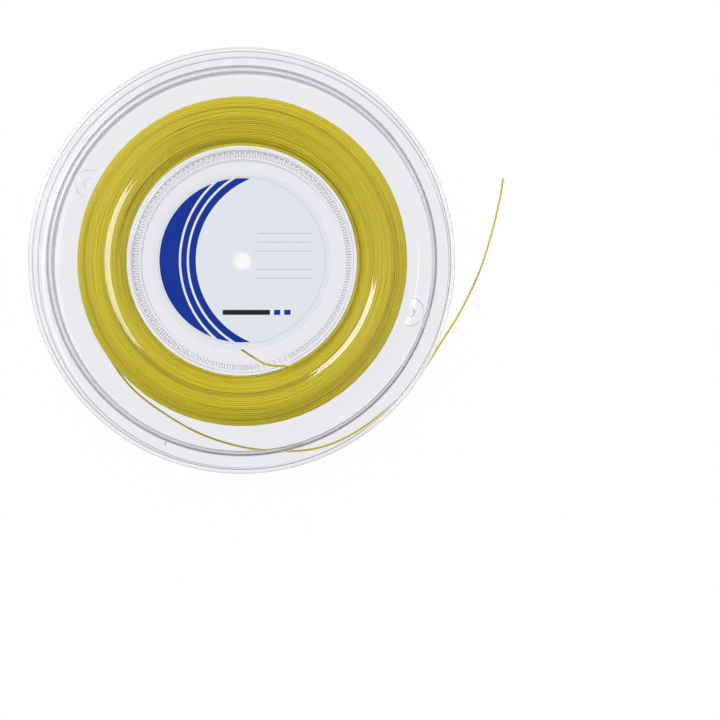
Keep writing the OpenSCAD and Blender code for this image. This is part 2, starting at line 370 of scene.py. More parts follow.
class NodeSheet:
    """Short calls for adding nodes to one node tree and joining them."""

    MIX_FACTOR, MIX_FIRST, MIX_SECOND, MIX_RESULT = 0, 6, 7, 2  # a colour Mix node's sockets

    def __init__(self, tree: bpy.types.NodeTree) -> None:
        """Empties the tree.

        Args:
            tree: The material's, world's or group's node tree.
        """
        self.tree = tree
        tree.nodes.clear()

    def add(self, kind: str, inputs: dict[str | int, object] | None = None,
            **settings: object) -> bpy.types.Node:
        """Adds a node.

        Args:
            kind: The node's type name, without "ShaderNode".
            inputs: Values or sockets for its inputs, by their names or numbers.
            settings: Its other properties.

        Returns:
            The node.
        """
        node = self.tree.nodes.new(kind if kind.startswith("Node") else "ShaderNode" + kind)
        for name, value in settings.items():
            setattr(node, name, value)
        for name, value in (inputs or {}).items():
            self.feed(node, name, value)
        return node

    def feed(self, node: bpy.types.Node, name: str | int, value: object) -> None:
        """Joins a socket to a node's input, or sets the input's value.

        Args:
            node: The node.
            name: The input's name or number.
            value: The socket, or the plain value.
        """
        if isinstance(value, bpy.types.NodeSocket):
            self.tree.links.new(value, node.inputs[name])
        else:
            node.inputs[name].default_value = value

    def math(self, operation: str, *values: object, clamp: bool = False) -> bpy.types.NodeSocket:
        """Result of a Math node on one to three numbers or sockets."""
        node = self.add("Math", dict(enumerate(values)), operation=operation, use_clamp=clamp)
        return node.outputs[0]

    def most(self, *values: bpy.types.NodeSocket) -> bpy.types.NodeSocket:
        """The largest of several sockets."""
        return reduce(lambda first, second: self.math("MAXIMUM", first, second), values)

    def total(self, values: Iterable[bpy.types.NodeSocket]) -> bpy.types.NodeSocket:
        """The sum of several sockets."""
        return reduce(lambda first, second: self.math("ADD", first, second), values)

    def mix(self, factor: object, first: object, second: object) -> bpy.types.NodeSocket:
        """Mixes two colours.

        Args:
            factor: The second colour's share.
            first: The first colour.
            second: The second colour.

        Returns:
            The mixed colour.
        """
        node = self.add("Mix", {self.MIX_FACTOR: factor, self.MIX_FIRST: first,
                                self.MIX_SECOND: second}, data_type="RGBA")
        return node.outputs[self.MIX_RESULT]

    def spread(self, value: object, span: Span,
               result: Span = (0.0, 1.0)) -> bpy.types.NodeSocket:
        """Maps a value from one range to another, smoothly and clamped.

        Args:
            value: What is mapped.
            span: The range it comes from.
            result: What the range's two ends become.

        Returns:
            The mapped value.
        """
        node = self.add("MapRange", dict(enumerate((value, *span, *result))),
                        interpolation_type="SMOOTHSTEP")
        return node.outputs[0]

    def noise(self, place: bpy.types.NodeSocket, scale: object, detail: float,
              **inputs: float) -> bpy.types.NodeSocket:
        """Value of a Noise Texture node, with its further inputs by name."""
        return self.add("TexNoise", {"Vector": place, "Scale": scale, "Detail": detail,
                                     **inputs}).outputs[0]

    def bump(self, strength: float, depth: float,
             height: bpy.types.NodeSocket) -> bpy.types.NodeSocket:
        """Normal of a Bump node."""
        return self.add("Bump", {"Strength": strength, "Distance": depth,
                                 "Height": height}).outputs[0]

    def mix_shaders(self, factor: bpy.types.NodeSocket, first: bpy.types.NodeSocket,
                    second: bpy.types.NodeSocket) -> bpy.types.NodeSocket:
        """Shader mix from first, at factor 0, to second, at factor 1."""
        return self.add("MixShader", {0: factor, 1: first, 2: second}).outputs[0]

    def cover(self, shader: bpy.types.NodeSocket) -> None:
        """Joins a shader to the material's output."""
        self.add("OutputMaterial", {"Surface": shader})


def rgba(colour: Colour) -> tuple[float, float, float, float]:
    """A colour with its alpha, as sockets want it."""
    return (*colour, 1.0)


def new_material(name: str) -> tuple[bpy.types.Material, NodeSheet]:
    """Starts a material and the sheet of its nodes.

    Args:
        name: The material's name.

    Returns:
        The material and its sheet.
    """
    material = bpy.data.materials.new(name)
    material.use_nodes = True
    return material, NodeSheet(material.node_tree)


def new_group(name: str, inputs: dict[str, tuple[str, object]],
              outputs: dict[str, str]) -> tuple[NodeSheet, bpy.types.Node, bpy.types.Node]:
    """Starts a shader node group.

    Args:
        name: The group's name.
        inputs: Socket type and default value by input name.
        outputs: Socket type by output name.

    Returns:
        The group's sheet, its input node and its output node.
    """
    tree = bpy.data.node_groups.new(name, "ShaderNodeTree")
    sheet = NodeSheet(tree)
    for label, (kind, default) in inputs.items():
        socket = tree.interface.new_socket(label, in_out="INPUT", socket_type=kind)
        if default is not None:
            socket.default_value = default
    for label, kind in outputs.items():
        tree.interface.new_socket(label, in_out="OUTPUT", socket_type=kind)
    return sheet, sheet.add("NodeGroupInput"), sheet.add("NodeGroupOutput")


def round_place_group() -> bpy.types.NodeTree:
    """Group that turns a position into its radius from the reel's axis and a wrapped place.

    Noise on the wrapped place runs in long streaks round the axis, because the place changes
    much faster from turn to turn, in radius and height, than along a turn.

    Returns:
        The group.
    """
    radial_rate, axial_rate = 700.0, 900.0
    sheet, inside, outside = new_group(
        "Round place", {"Position": ("NodeSocketVector", None)},
        {"Radius": "NodeSocketFloat", "Wrapped": "NodeSocketVector"})
    x, y, z = sheet.add("SeparateXYZ", {0: inside.outputs[0]}).outputs
    radius = sheet.math("SQRT", sheet.math("ADD", sheet.math("MULTIPLY", x, x),
                                           sheet.math("MULTIPLY", y, y)))
    across = sheet.math("ADD", sheet.math("DIVIDE", x, radius),
                        sheet.math("MULTIPLY", radius, radial_rate))
    wrapped = sheet.add("CombineXYZ", {0: across, 1: sheet.math("DIVIDE", y, radius),
                                       2: sheet.math("MULTIPLY", z, axial_rate)})
    sheet.feed(outside, "Radius", radius)
    sheet.feed(outside, "Wrapped", wrapped.outputs[0])
    return sheet.tree


def handling_group() -> bpy.types.NodeTree:
    """Group for handling wear: faint smudges, and fine scratches that run every way.

    Returns:
        The group.
    """
    middle, scratch_width = 0.5, 0.012
    smudge_share, scratch_share = 0.5, 0.8
    sheet, inside, outside = new_group(
        "Handling wear",
        {"Position": ("NodeSocketVector", None), "Smudge scale": ("NodeSocketFloat", 30.0),
         "Scratch scale": ("NodeSocketFloat", 260.0), "Amount": ("NodeSocketFloat", 0.1)},
        {"Roughness": "NodeSocketFloat", "Height": "NodeSocketFloat"})
    place, smudge_scale, scratch_scale, amount = inside.outputs[:4]
    smudge = sheet.noise(place, smudge_scale, detail=3.0, Roughness=0.6)
    lines = sheet.noise(place, scratch_scale, detail=1.0, Distortion=6.0)
    off_line = sheet.math("ABSOLUTE", sheet.math("SUBTRACT", lines, middle))
    patches = sheet.spread(smudge, (middle, 0.75))
    scratch = sheet.math("MULTIPLY", sheet.spread(off_line, (0.0, scratch_width), (1.0, 0.0)),
                         patches)
    rough = sheet.math("ADD", sheet.math("MULTIPLY", patches, smudge_share),
                       sheet.math("MULTIPLY", scratch, scratch_share))
    sheet.feed(outside, "Roughness", sheet.math("MULTIPLY", amount, rough))
    sheet.feed(outside, "Height", sheet.math("MULTIPLY", scratch, -1.0))
    return sheet.tree


# ---------- Finishes ----------


@dataclass(frozen=True)
class Wear:
    """How a finish uses the handling wear group."""

    smudge_scale: float
    scratch_scale: float
    amount: float


class Finishes:
    """The node groups that the reel's three finishes share."""

    def __init__(self) -> None:
        """Builds the shared groups once."""
        self.round_place = round_place_group()
        self.handling = handling_group()

    def start(self, name: str) -> tuple[bpy.types.Material, NodeSheet, bpy.types.NodeSocket]:
        """Starts a material.

        Args:
            name: The material's name.

        Returns:
            The material, its sheet and its Object coordinates.
        """
        material, sheet = new_material(name)
        return material, sheet, sheet.add("TexCoord").outputs["Object"]

    def round_of(self, sheet: NodeSheet, place: bpy.types.NodeSocket) -> bpy.types.NodeOutputs:
        """Places the round place group and returns its outputs."""
        return sheet.add("Group", {"Position": place}, node_tree=self.round_place).outputs

    def wear(self, sheet: NodeSheet, place: bpy.types.NodeSocket,
             wear: Wear) -> bpy.types.NodeOutputs:
        """Places the handling wear group with one finish's values.

        Args:
            sheet: The material's sheet.
            place: Its Object coordinates.
            wear: The finish's values.

        Returns:
            The group's outputs.
        """
        return sheet.add("Group", {
            "Position": place, "Smudge scale": wear.smudge_scale,
            "Scratch scale": wear.scratch_scale, "Amount": wear.amount,
        }, node_tree=self.handling).outputs


@dataclass(frozen=True)
class ClearPlastic:
    """Polystyrene, clear as it leaves a polished mould, with faint flow lines and wear.

    Walls that stand steep to the eye are darkened toward the edge colour. This is painted shade,
    set by view angle and by radius, for the grey outlines of steep clear walls, partly standing
    for their longer path through the plastic. Each of the edge gains holds two radii in
    millimetres and how much the painted shade's share grows from the first to the second.
    """

    tint: Colour = (0.983, 0.985, 1.0)
    # edge: colour of the painted shade on walls seen edge-on
    edge: Colour = (0.42, 0.42, 0.46)
    edge_shade_gains: tuple[tuple[float, float, float], ...] = (
        (95, 100, 0.5), (118.6, 120, 0.35), (124.2, 124.8, 0.2), (132.8, 133.6, -1.0))
    steep: Span = (0.015, 0.15)
    steepest: Span = (0.22, 0.5)
    steepest_share: float = 0.8
    shade: Colour = (0.97, 0.975, 0.98)
    index: float = 1.46
    roughness: float = 0.02
    wear: Wear = Wear(28.0, 240.0, 0.12)
    flow_scale: float = 22.0
    flow_detail: float = 1.5
    flow_strength: float = 0.5
    flow_depth: float = 0.02 * MM
    scratch_share: float = 0.05

    def colour(self, sheet: NodeSheet, radius: bpy.types.NodeSocket) -> bpy.types.NodeSocket:
        """Colour of the wall: its tint, darkened by painted shade where it stands steep to the
        eye, as much as the gains give where it is on the reel.

        Args:
            sheet: The material's sheet.
            radius: Distance from the reel's axis.

        Returns:
            The colour.
        """
        # Painted shade: walls seen edge-on darken toward the edge colour, weighted by radius
        # bands
        facing = sheet.add("LayerWeight", {"Blend": 0.5}).outputs["Facing"]
        gain = sheet.total(sheet.spread(radius, (low * MM, high * MM), (0.0, share))
                           for low, high, share in self.edge_shade_gains)
        steep = sheet.math("MULTIPLY", sheet.spread(facing, self.steep),
                           sheet.spread(facing, self.steepest, (1.0, self.steepest_share)))
        return sheet.mix(sheet.math("MULTIPLY", steep, gain), rgba(self.tint), rgba(self.edge))

    def build(self, finishes: Finishes) -> bpy.types.Material:
        """Makes the material, which lets the lamps' light through without a dark shadow.

        Args:
            finishes: The shared groups.

        Returns:
            The material.
        """
        material, sheet, place = finishes.start("clear polystyrene")
        wear = finishes.wear(sheet, place, self.wear)
        flow = sheet.noise(place, self.flow_scale, self.flow_detail)
        relief = sheet.math("ADD", flow, sheet.math("MULTIPLY", wear["Height"],
                                                    self.scratch_share))
        radius = finishes.round_of(sheet, place)["Radius"]
        glass = sheet.add("BsdfPrincipled", {
            "Base Color": self.colour(sheet, radius), "IOR": self.index,
            "Transmission Weight": 1.0,
            "Roughness": sheet.math("ADD", wear["Roughness"], self.roughness),
            "Normal": sheet.bump(self.flow_strength, self.flow_depth, relief)})
        clear = sheet.add("BsdfTransparent", {"Color": rgba(self.shade)})
        path = sheet.add("LightPath").outputs
        surface = glass.outputs[0]
        for ray in ("Is Shadow Ray", "Is Diffuse Ray"):
            surface = sheet.mix_shaders(path[ray], surface, clear.outputs[0])
        sheet.cover(surface)
        return material


@dataclass(frozen=True)
class YellowString:
    """Smooth co-polyester monofilament, darker in streaks that run along the winding."""

    light: Colour = (0.685, 0.562, 0.015)
    deep: Colour = (0.38, 0.3, 0.007)
    roughness: float = 0.36
    gloss: float = 0.5
    index: float = 1.5
    wear: Wear = Wear(60.0, 420.0, 0.05)
    scratch_strength: float = 0.3
    scratch_depth: float = 0.02 * MM
    strand_scale: float = 1.1
    strand_span: Span = (0.45, 0.75)
    strand_share: float = 0.4
    bundle_scale: float = 0.37
    bundle_span: Span = (0.45, 0.72)
    bundle_share: float = 0.7
    streak_detail: float = 2.0
    streak_roughness: float = 0.55

    def build(self, finishes: Finishes) -> bpy.types.Material:
        """Makes the material.

        Args:
            finishes: The shared groups.

        Returns:
            The material.
        """
        material, sheet, place = finishes.start("yellow monofilament")
        wrapped = finishes.round_of(sheet, place)["Wrapped"]
        strands, bundles = (
            sheet.noise(wrapped, scale, self.streak_detail, Roughness=self.streak_roughness)
            for scale in (self.strand_scale, self.bundle_scale))
        wear = finishes.wear(sheet, place, self.wear)
        shade = sheet.math(
            "MULTIPLY_ADD", sheet.spread(strands, self.strand_span), self.strand_share,
            sheet.spread(bundles, self.bundle_span, (0.0, self.bundle_share)), clamp=True)
        body = sheet.add("BsdfPrincipled", {
            "Base Color": sheet.mix(shade, rgba(self.light), rgba(self.deep)),
            "IOR": self.index, "Specular IOR Level": self.gloss,
            "Normal": sheet.bump(self.scratch_strength, self.scratch_depth, wear["Height"]),
            "Roughness": sheet.math("ADD", wear["Roughness"], self.roughness)})
        sheet.cover(body.outputs[0])
        return material


@dataclass(frozen=True)
class Print:
    """One printed box of the label: its middle, its size and its ink. Sizes in millimetres."""

    x: float
    y: float
    width: float
    height: float
    ink: Colour


@dataclass(frozen=True)
class PrintedLabel:
    """Satin paper with a blue crescent, an empty table of thin rules and a dark bar.

    Places and sizes of what is printed are in millimetres from the label's middle.
    """

    paper: Colour = (0.78, 0.805, 0.86)
    blue: Colour = (0.006, 0.036, 0.31)
    grey: Colour = (0.42, 0.43, 0.47)
    black: Colour = (0.02, 0.02, 0.025)
    crescent_r: float = 52.0
    crescent_inner_x: float = 27.0
    crescent_inner_r: float = 56.0
    stripe_radii: Span = (61.0, 66.0)
    stripe_half_width: float = 0.7
    # A thin ring of painted shade at ring_r, as where the paper bridges a low step
    ring_r: float = 53.0
    shade_ring_half_width: float = 0.3
    shade_ring_share: float = 0.35
    rule_x: float = 27
    rule_heights: tuple[float, ...] = (17, 11.4, 5.8, -5.8, -11.4)
    rule_size: Span = (34, 0.35)
    foot_y: float = -33
    foot_height: float = 3.2
    grain_scale: float = 900.0
    grain_detail: float = 3.0
    grain_span: Span = (0.3, 0.7)
    grain_share: float = 0.35
    grain_tone: float = 0.96
    grain_strength: float = 0.15
    grain_depth: float = 0.03 * MM
    roughness: float = 0.6
    gloss: float = 0.1
    wear: Wear = Wear(45.0, 300.0, 0.1)

    def prints(self) -> list[Print]:
        """Lists the label's rules and bars.

        Returns:
            The boxes, in the order in which they are printed.
        """
        rules = [Print(self.rule_x, y, *self.rule_size, self.grey) for y in self.rule_heights]
        bars = [Print(x, self.foot_y, width, self.foot_height, ink)
                for x, width, ink in ((3, 30, self.black), (22.5, 4, self.blue),
                                      (29, 4, self.blue))]
        return rules + bars

    def build(self, finishes: Finishes) -> bpy.types.Material:
        """Makes the material.

        Args:
            finishes: The shared groups.

        Returns:
            The material.
        """
        material, sheet, place = finishes.start("printed label paper")
        radius = sheet.math("MULTIPLY", finishes.round_of(sheet, place)["Radius"], 1 / MM)
        grain = sheet.noise(place, self.grain_scale, self.grain_detail)
        wear = finishes.wear(sheet, place, self.wear)
        body = sheet.add("BsdfPrincipled", {
            "Base Color": self.artwork(sheet, place, radius, grain),
            "Roughness": sheet.math("ADD", wear["Roughness"], self.roughness),
            "Specular IOR Level": self.gloss,
            "Normal": sheet.bump(self.grain_strength, self.grain_depth, grain)})
        sheet.cover(body.outputs[0])
        return material

    def artwork(self, sheet: NodeSheet, place: bpy.types.NodeSocket,
                radius: bpy.types.NodeSocket,
                grain: bpy.types.NodeSocket) -> bpy.types.NodeSocket:
        """Colour of the paper with all that is printed on it, and a thin ring of painted shade.

        Args:
            sheet: The material's sheet.
            place: Its Object coordinates.
            radius: Distance from the reel's axis, in millimetres.
            grain: The paper's grain.

        Returns:
            The colour.
        """
        metres = sheet.add("SeparateXYZ", {0: place}).outputs
        x, y = (sheet.math("MULTIPLY", metres[axis], 1 / MM) for axis in "XY")
        darker = tuple(self.grain_tone * c for c in self.paper)
        paper = sheet.mix(sheet.spread(grain, self.grain_span, (0.0, self.grain_share)),
                          rgba(self.paper), rgba(darker))
        # Painted shade: a thin grey ring darkens the paper at ring_r
        ring = sheet.math("COMPARE", radius, self.ring_r, self.shade_ring_half_width)
        colour = sheet.mix(sheet.math("MULTIPLY", ring, self.shade_ring_share), paper,
                           rgba(self.grey))
        colour = sheet.mix(self.crescent(sheet, x, y, radius), colour, rgba(self.blue))
        for item in self.prints():
            colour = sheet.mix(self.box(sheet, x, y, item), colour, rgba(item.ink))
        return colour

    def crescent(self, sheet: NodeSheet, x: bpy.types.NodeSocket, y: bpy.types.NodeSocket,
                 radius: bpy.types.NodeSocket) -> bpy.types.NodeSocket:
        """Masks the crescent between two circles, less its thin stripes.

        Args:
            sheet: The material's sheet.
            x: Place to the right, in millimetres.
            y: Place upwards, in millimetres.
            radius: Distance from the reel's axis, in millimetres.

        Returns:
            The mask.
        """
        across = sheet.math("SUBTRACT", x, self.crescent_inner_x)
        inner = sheet.math("SQRT", sheet.math("ADD", sheet.math("MULTIPLY", across, across),
                                              sheet.math("MULTIPLY", y, y)))
        mask = sheet.math("MULTIPLY", sheet.math("LESS_THAN", radius, self.crescent_r),
                          sheet.math("GREATER_THAN", inner, self.crescent_inner_r))
        for stripe in self.stripe_radii:
            gap = sheet.math("COMPARE", inner, stripe, self.stripe_half_width)
            mask = sheet.math("SUBTRACT", mask, gap, clamp=True)
        return mask

    def box(self, sheet: NodeSheet, x: bpy.types.NodeSocket, y: bpy.types.NodeSocket,
            item: Print) -> bpy.types.NodeSocket:
        """Mask of one printed box."""
        return sheet.math("MULTIPLY", sheet.math("COMPARE", x, item.x, item.width / 2),
                          sheet.math("COMPARE", y, item.y, item.height / 2))


# ---------- The two moulded halves ----------


@dataclass(frozen=True)
class Corner:
    """A point of a half's section, by radius and height, and the radius of its fillet."""

    r: float
    h: float
    fillet: float = 0.0


@dataclass
class MouldedHalf:
    """One clear half: the flange with its rim, and what it carries in the hub."""

    side: Side
    name: str
    node: str
    spot_deg: float
    land_h: float
    sizes: ReelSizes = REEL
    bend_steps: int = 10
    fillet_steps: int = 4
    bead_steps: int = 6
    spot_steps: int = 64
    edge_round: float = 0.25 * MM
    contact_gap: float = 0.04 * MM
    tooth_round: float = 0.12 * MM
    spot_r: float = 8.8 * MM
    island_r: float = 3.4 * MM
    spot_margin: float = 0.2 * MM
    spot_rise: float = 0.95 * MM
    spot_slope: float = 0.6 * MM
    spot_lift: float = 0.06 * MM

    def s_bend(self, r: float, h: float, width: float, rise: float,
               split: float = 0.5) -> list[tuple[float, ...]]:
        """Middle line of an S-bend on two arcs.

        Args:
            r: Radius where it starts level.
            h: Height where it starts.
            width: How far it reaches outwards.
            rise: How far it rises, or drops if negative.
            split: The first arc's share of the width.

        Returns:
            Radius, height and slope of each point.
        """
        both = (width * width + rise * rise) / (2 * abs(rise))
        low, high = both * split, both * (1 - split)
        full = 2 * math.atan(abs(rise) / width)
        up = math.copysign(1.0, rise)
        turns = [full * i / self.bend_steps for i in range(self.bend_steps + 1)]
        first = [(r + low * math.sin(a), h + up * low * (1 - math.cos(a)), up * a)
                 for a in turns]
        second = [(r + width - high * math.sin(a), h + rise - up * high * (1 - math.cos(a)),
                   up * a) for a in reversed(turns[:-1])]
        return first + second

    def wall_face(self, outwards: float) -> list[Corner]:
        """Draws one face of the flange's wall, from the drum to the rim.

        Args:
            outwards: 1 for the outer face, -1 for the inner one.

        Returns:
            The face's corners.
        """
        s = self.sizes
        line = (self.s_bend(s.shoulder_r, s.ledge_h, s.shoulder_w, s.valley_h - s.ledge_h)
                + self.s_bend(s.rise_r, s.valley_h, s.rise_w, self.land_h - s.valley_h)
                + self.s_bend(s.step_r, self.land_h, s.step_w, s.band_h - self.land_h,
                              s.step_split))
        gap = outwards * s.wall / 2
        return [Corner(r - gap * math.sin(a), h + gap * math.cos(a)) for r, h, a in line]

    def rim(self) -> list[Corner]:
        """Draws the rim, from the outer face of the band round to its inner face.

        Returns:
            The rim's corners.
        """
        s = self.sizes
        low = s.half_depth - s.rim_h
        foot, brow = s.band_r - s.rim_slope / 2, s.band_r + s.rim_slope / 2
        return [
            Corner(foot, s.band_h + s.wall / 2, s.rim_foot),
            Corner(brow, s.half_depth, s.rim_brow),
            Corner(s.flange_r, s.half_depth, s.rim_round),
            Corner(s.flange_r, low, s.rim_round),
            Corner(brow, low, self.edge_round / 2),
            Corner(foot, s.band_h - s.wall / 2, self.edge_round / 2),
        ]

    def bead(self, radius: float, top_first: bool) -> list[Corner]:
        """Draws the snap's arc where it stands out of, or into, a wall.

        Args:
            radius: Radius of the bead or its groove.
            top_first: True for the spigot's bead, which is drawn downwards from the web,
                and False for the groove in the drum.

        Returns:
            The arc's corners.
        """
        s = self.sizes
        wall_r = s.spigot_r if top_first else s.spigot_r + s.clearance
        middle = s.spigot_r - s.snap_r / 2
        reach = math.acos((wall_r - middle) / radius)
        arc = [reach * (1 - 2 * i / self.bead_steps) for i in range(self.bead_steps + 1)]
        points = [Corner(middle + radius * math.cos(a), s.snap_h + radius * math.sin(a))
                  for a in arc]
        return points if top_first else points[::-1]

    def hub(self) -> list[Corner]:
        """Draws what stands on the web's inner face, from the outside in.

        Returns:
            The hub's corners.
        """
        s = self.sizes
        inside, tooth = s.ledge_in, s.tooth_half_len
        if self.side is Side.FRONT:
            return [Corner(s.spigot_r, inside, self.edge_round), *self.bead(s.snap_r, True),
                    Corner(s.spigot_r, -tooth, self.edge_round), Corner(s.tooth_root_r, -tooth),
                    Corner(s.tooth_root_r, tooth), Corner(s.tooth_root_r, inside)]
        top = -inside + self.contact_gap
        drum_in = s.drum_r - s.drum_wall
        return [Corner(s.drum_r, inside, self.edge_round), Corner(s.drum_r, top, self.edge_round),
                Corner(drum_in, top, self.edge_round),
                *self.bead(s.snap_r + s.clearance, False), Corner(drum_in, inside),
                Corner(s.ring_r, inside), Corner(s.ring_r, tooth), Corner(s.ring_r, -tooth),
                Corner(s.ring_r - s.ring_wall, -tooth, self.edge_round / 2),
                Corner(s.ring_r - s.ring_wall, inside, self.edge_round)]

    def section(self) -> list[Corner]:
        """Draws the section of the whole half.

        Returns:
            The corners, once round.
        """
        s = self.sizes
        return ([Corner(s.bore_r, s.ledge_out, self.edge_round)] + self.wall_face(1)
                + self.rim() + self.wall_face(-1)[::-1] + self.hub()
                + [Corner(s.bore_r, s.ledge_in, self.edge_round)])

    def level(self, h: float) -> float:
        """Height above the floor of a height from the middle plane."""
        return self.sizes.half_depth + self.side.value * h

    def height(self, z: float) -> float:
        """Height from the middle plane of a height above the floor."""
        return (z - self.sizes.half_depth) * self.side.value

    def draw_section(self, bm: bmesh.types.BMesh) -> None:
        """Draws the section as a wire with its corners rounded.

        Args:
            bm: The bmesh that takes it.
        """
        corners = self.section()
        verts = [bm.verts.new((c.r, 0, self.level(c.h))) for c in corners]
        bm.faces.new(verts)
        for radius in sorted({c.fillet for c in corners if c.fillet}):
            chosen = [v for v, c in zip(verts, corners) if c.fillet == radius]
            round_off(bm, chosen, radius, self.fillet_steps, affect="VERTICES")
        bmesh.ops.delete(bm, geom=bm.faces[:], context="FACES_ONLY")

    def set_columns(self, bm: bmesh.types.BMesh) -> None:
        """Turns each column of points a little, so that every other gap is one tooth wide.

        Args:
            bm: The turned half.
        """
        s = self.sizes
        half_tooth = math.degrees(s.tooth_w / 2 / s.tooth_middle_r)
        gap = math.degrees(s.clearance / s.tooth_root_r)
        if self.side is Side.REAR:
            shift = s.tooth_pitch / 4 - half_tooth
        else:
            shift = -(s.tooth_pitch / 4 - (s.tooth_pitch / 2 - half_tooth - gap))
        for vert in bm.verts:
            angle = math.degrees(math.atan2(vert.co.y, vert.co.x)) % 360
            column = round((angle - s.tooth_pitch / 4) / (s.tooth_pitch / 2))
            turn = -shift if column % 2 == 0 else shift
            vert.co = Matrix.Rotation(math.radians(turn), 3, "Z") @ vert.co

    def tooth_faces(self, bm: bmesh.types.BMesh, base_r: float,
                    first_deg: float) -> list[bmesh.types.BMFace]:
        """Faces of the wall that the teeth stand on.

        Args:
            bm: The turned half.
            base_r: Radius of the wall.
            first_deg: Angle of the first tooth's middle.

        Returns:
            One face for each tooth.
        """
        pitch = self.sizes.tooth_pitch
        length = 2 * self.sizes.tooth_half_len
        chosen = []
        for face in bm.faces:
            heights = [self.height(v.co.z) for v in face.verts]
            on_wall = all(abs(v.co.xy.length - base_r) < WALL_SLACK for v in face.verts)
            if not on_wall or abs(max(heights) - min(heights) - length) > WALL_SLACK:
                continue
            middle = face.calc_center_median()
            angle = math.degrees(math.atan2(middle.y, middle.x)) - first_deg
            if abs((angle + pitch / 2) % pitch - pitch / 2) < pitch / 8:
                chosen.append(face)
        return chosen

    def raise_teeth(self, bm: bmesh.types.BMesh, base_r: float, tip_r: float,
                    first_deg: float) -> None:
        """Extrudes the spline's teeth from the ring or the spigot, and rounds their ends.

        Args:
            bm: The turned half.
            base_r: Radius of the wall that carries them.
            tip_r: Radius of their tips.
            first_deg: Angle of the first tooth's middle.
        """
        chosen = self.tooth_faces(bm, base_r, first_deg)
        raised = bmesh.ops.extrude_discrete_faces(bm, faces=chosen)["faces"]
        for face in raised:
            middle = face.calc_center_median().xy.normalized()
            side = Vector((-middle.y, middle.x))
            for vert in face.verts:
                across = vert.co.xy.dot(side)
                along = math.sqrt(tip_r * tip_r - across * across)
                vert.co.xy = middle * along + side * across
        tips = {vert for face in raised for vert in face.verts}
        ends = [edge for edge in bm.edges if tips.intersection(edge.verts)
                and abs(edge.verts[0].co.z - edge.verts[1].co.z) < WALL_SLACK]
        round_off(bm, ends, self.tooth_round, segments=1)

    @property
    def spot_floor(self) -> float:
        """Height of the round spot's floor from the middle plane."""
        return self.sizes.valley_h + self.sizes.wall / 2 + self.spot_lift

    def cut_spot(self, piece: bpy.types.Object) -> None:
        """Faces the round spot level into the slow rise, with sloping sides and an island.

        Args:
            piece: The half.
        """
        s = self.sizes
        floor_h = self.spot_floor
        top_h = floor_h + self.spot_rise
        bm = bmesh.new()
        corners = [(self.island_r, floor_h), (self.spot_r, floor_h),
                   (self.spot_r + self.spot_slope, top_h),
                   (self.island_r - self.spot_slope, top_h)]
        bm.faces.new([bm.verts.new((r, 0, self.level(h))) for r, h in corners])
        bmesh.ops.delete(bm, geom=bm.faces[:], context="FACES_ONLY")
        turn_section(bm, 0, self.spot_steps)
        centre = polar(s.step_r - self.spot_margin - self.spot_r, self.spot_deg)
        bmesh.ops.translate(bm, vec=centre, verts=bm.verts[:])
        carve(piece, make_piece(bm, "tool"), "DIFFERENCE")

    def build(self) -> bpy.types.Object:
        """Makes the half, in place, and hides the node that it stands for.

        Returns:
            The finished piece.
        """
        s = self.sizes
        bm = bmesh.new()
        self.draw_section(bm)
        turn_section(bm, s.tooth_pitch / 4, 2 * s.tooth_count)
        bmesh.ops.remove_doubles(bm, verts=bm.verts[:], dist=WELD)
        self.set_columns(bm)
        self.make_hub(bm)
        piece = make_piece(bm, self.name)
        self.cut_spot(piece)
        self.add_marks(piece)
        even_out(piece, self.level(self.spot_floor))
        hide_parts(self.node)
        return piece

    def make_hub(self, bm: bmesh.types.BMesh) -> None:
        """Makes the teeth in the hub."""
        raise NotImplementedError

    def add_marks(self, piece: bpy.types.Object) -> None:
        """Cuts or adds what only this half has."""
        raise NotImplementedError


@dataclass
class RearHalf(MouldedHalf):
    """The half with the drum, the ring with outward teeth and the slot for the string."""

    side: Side = Side.REAR
    name: str = "rear_shell"
    node: str = "rear_half"
    spot_deg: float = 153
    land_h: float = 10.5 * MM
    slot_w: float = 2.6 * MM
    slot_lean: float = 25
    slot_reach: float = 20 * MM
    slot_over: float = 1 * MM

    def make_hub(self, bm: bmesh.types.BMesh) -> None:
        """Raises the outward teeth on the ring."""
        self.raise_teeth(bm, self.sizes.ring_r, self.sizes.tooth_root_r - self.sizes.clearance, 0)

    def add_marks(self, piece: bpy.types.Object) -> None:
        """Cuts the slot that the string passes through.

        Args:
            piece: The half.
        """
        floor_z = self.sizes.half_depth + STRING.flank_h - self.slot_w / 2
        top_z = self.sizes.half_depth + self.sizes.ledge_in + self.slot_over
        place = (Matrix.Rotation(math.radians(STRING.slot_deg), 4, "Z")
                 @ Matrix.Translation((STRING.slot_r, 0, floor_z))
                 @ Matrix.Rotation(math.radians(90 - self.slot_lean), 4, "Z"))
        carve(piece, box_tool((-self.slot_reach, -self.slot_w / 2, 0),
                              (self.slot_w, self.slot_w / 2, top_z - floor_z), place),
              "DIFFERENCE")


